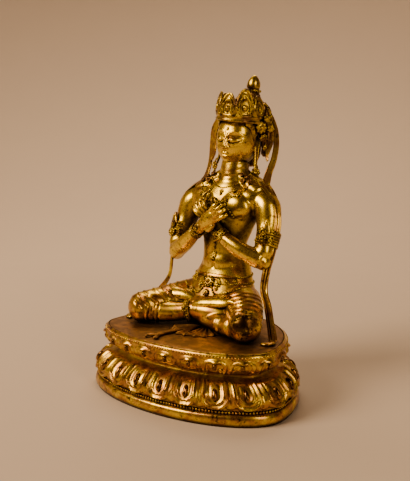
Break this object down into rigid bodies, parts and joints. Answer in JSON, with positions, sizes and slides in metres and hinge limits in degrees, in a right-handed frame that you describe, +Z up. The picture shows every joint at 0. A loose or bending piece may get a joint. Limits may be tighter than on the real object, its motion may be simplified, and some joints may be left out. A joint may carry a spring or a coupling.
{
  "type": "seated vajradhara statue",
  "caption": "Small gilt cast figure, crowned and cross-legged with the forearms crossed on the chest, on an oval double lotus base.",
  "frame": {"origin": "on the surface that the base stands on, under the middle of the bounding box", "axes": "+Z up, the figure faces -Y, its own left hand is towards +X"},
  "size_m": [0.118, 0.09, 0.1684],
  "materials": {
    "figure_gilding": "fire-gilt copper alloy, polished on the high places, dark brown patina in the recesses",
    "base_gilding": "worn gilding over brown copper alloy, duller on the top plate"
  },
  "bodies": {
    "root": {"lotus_base": "base_gilding", "figure": "figure_gilding"}
  },
  "joints": []
}
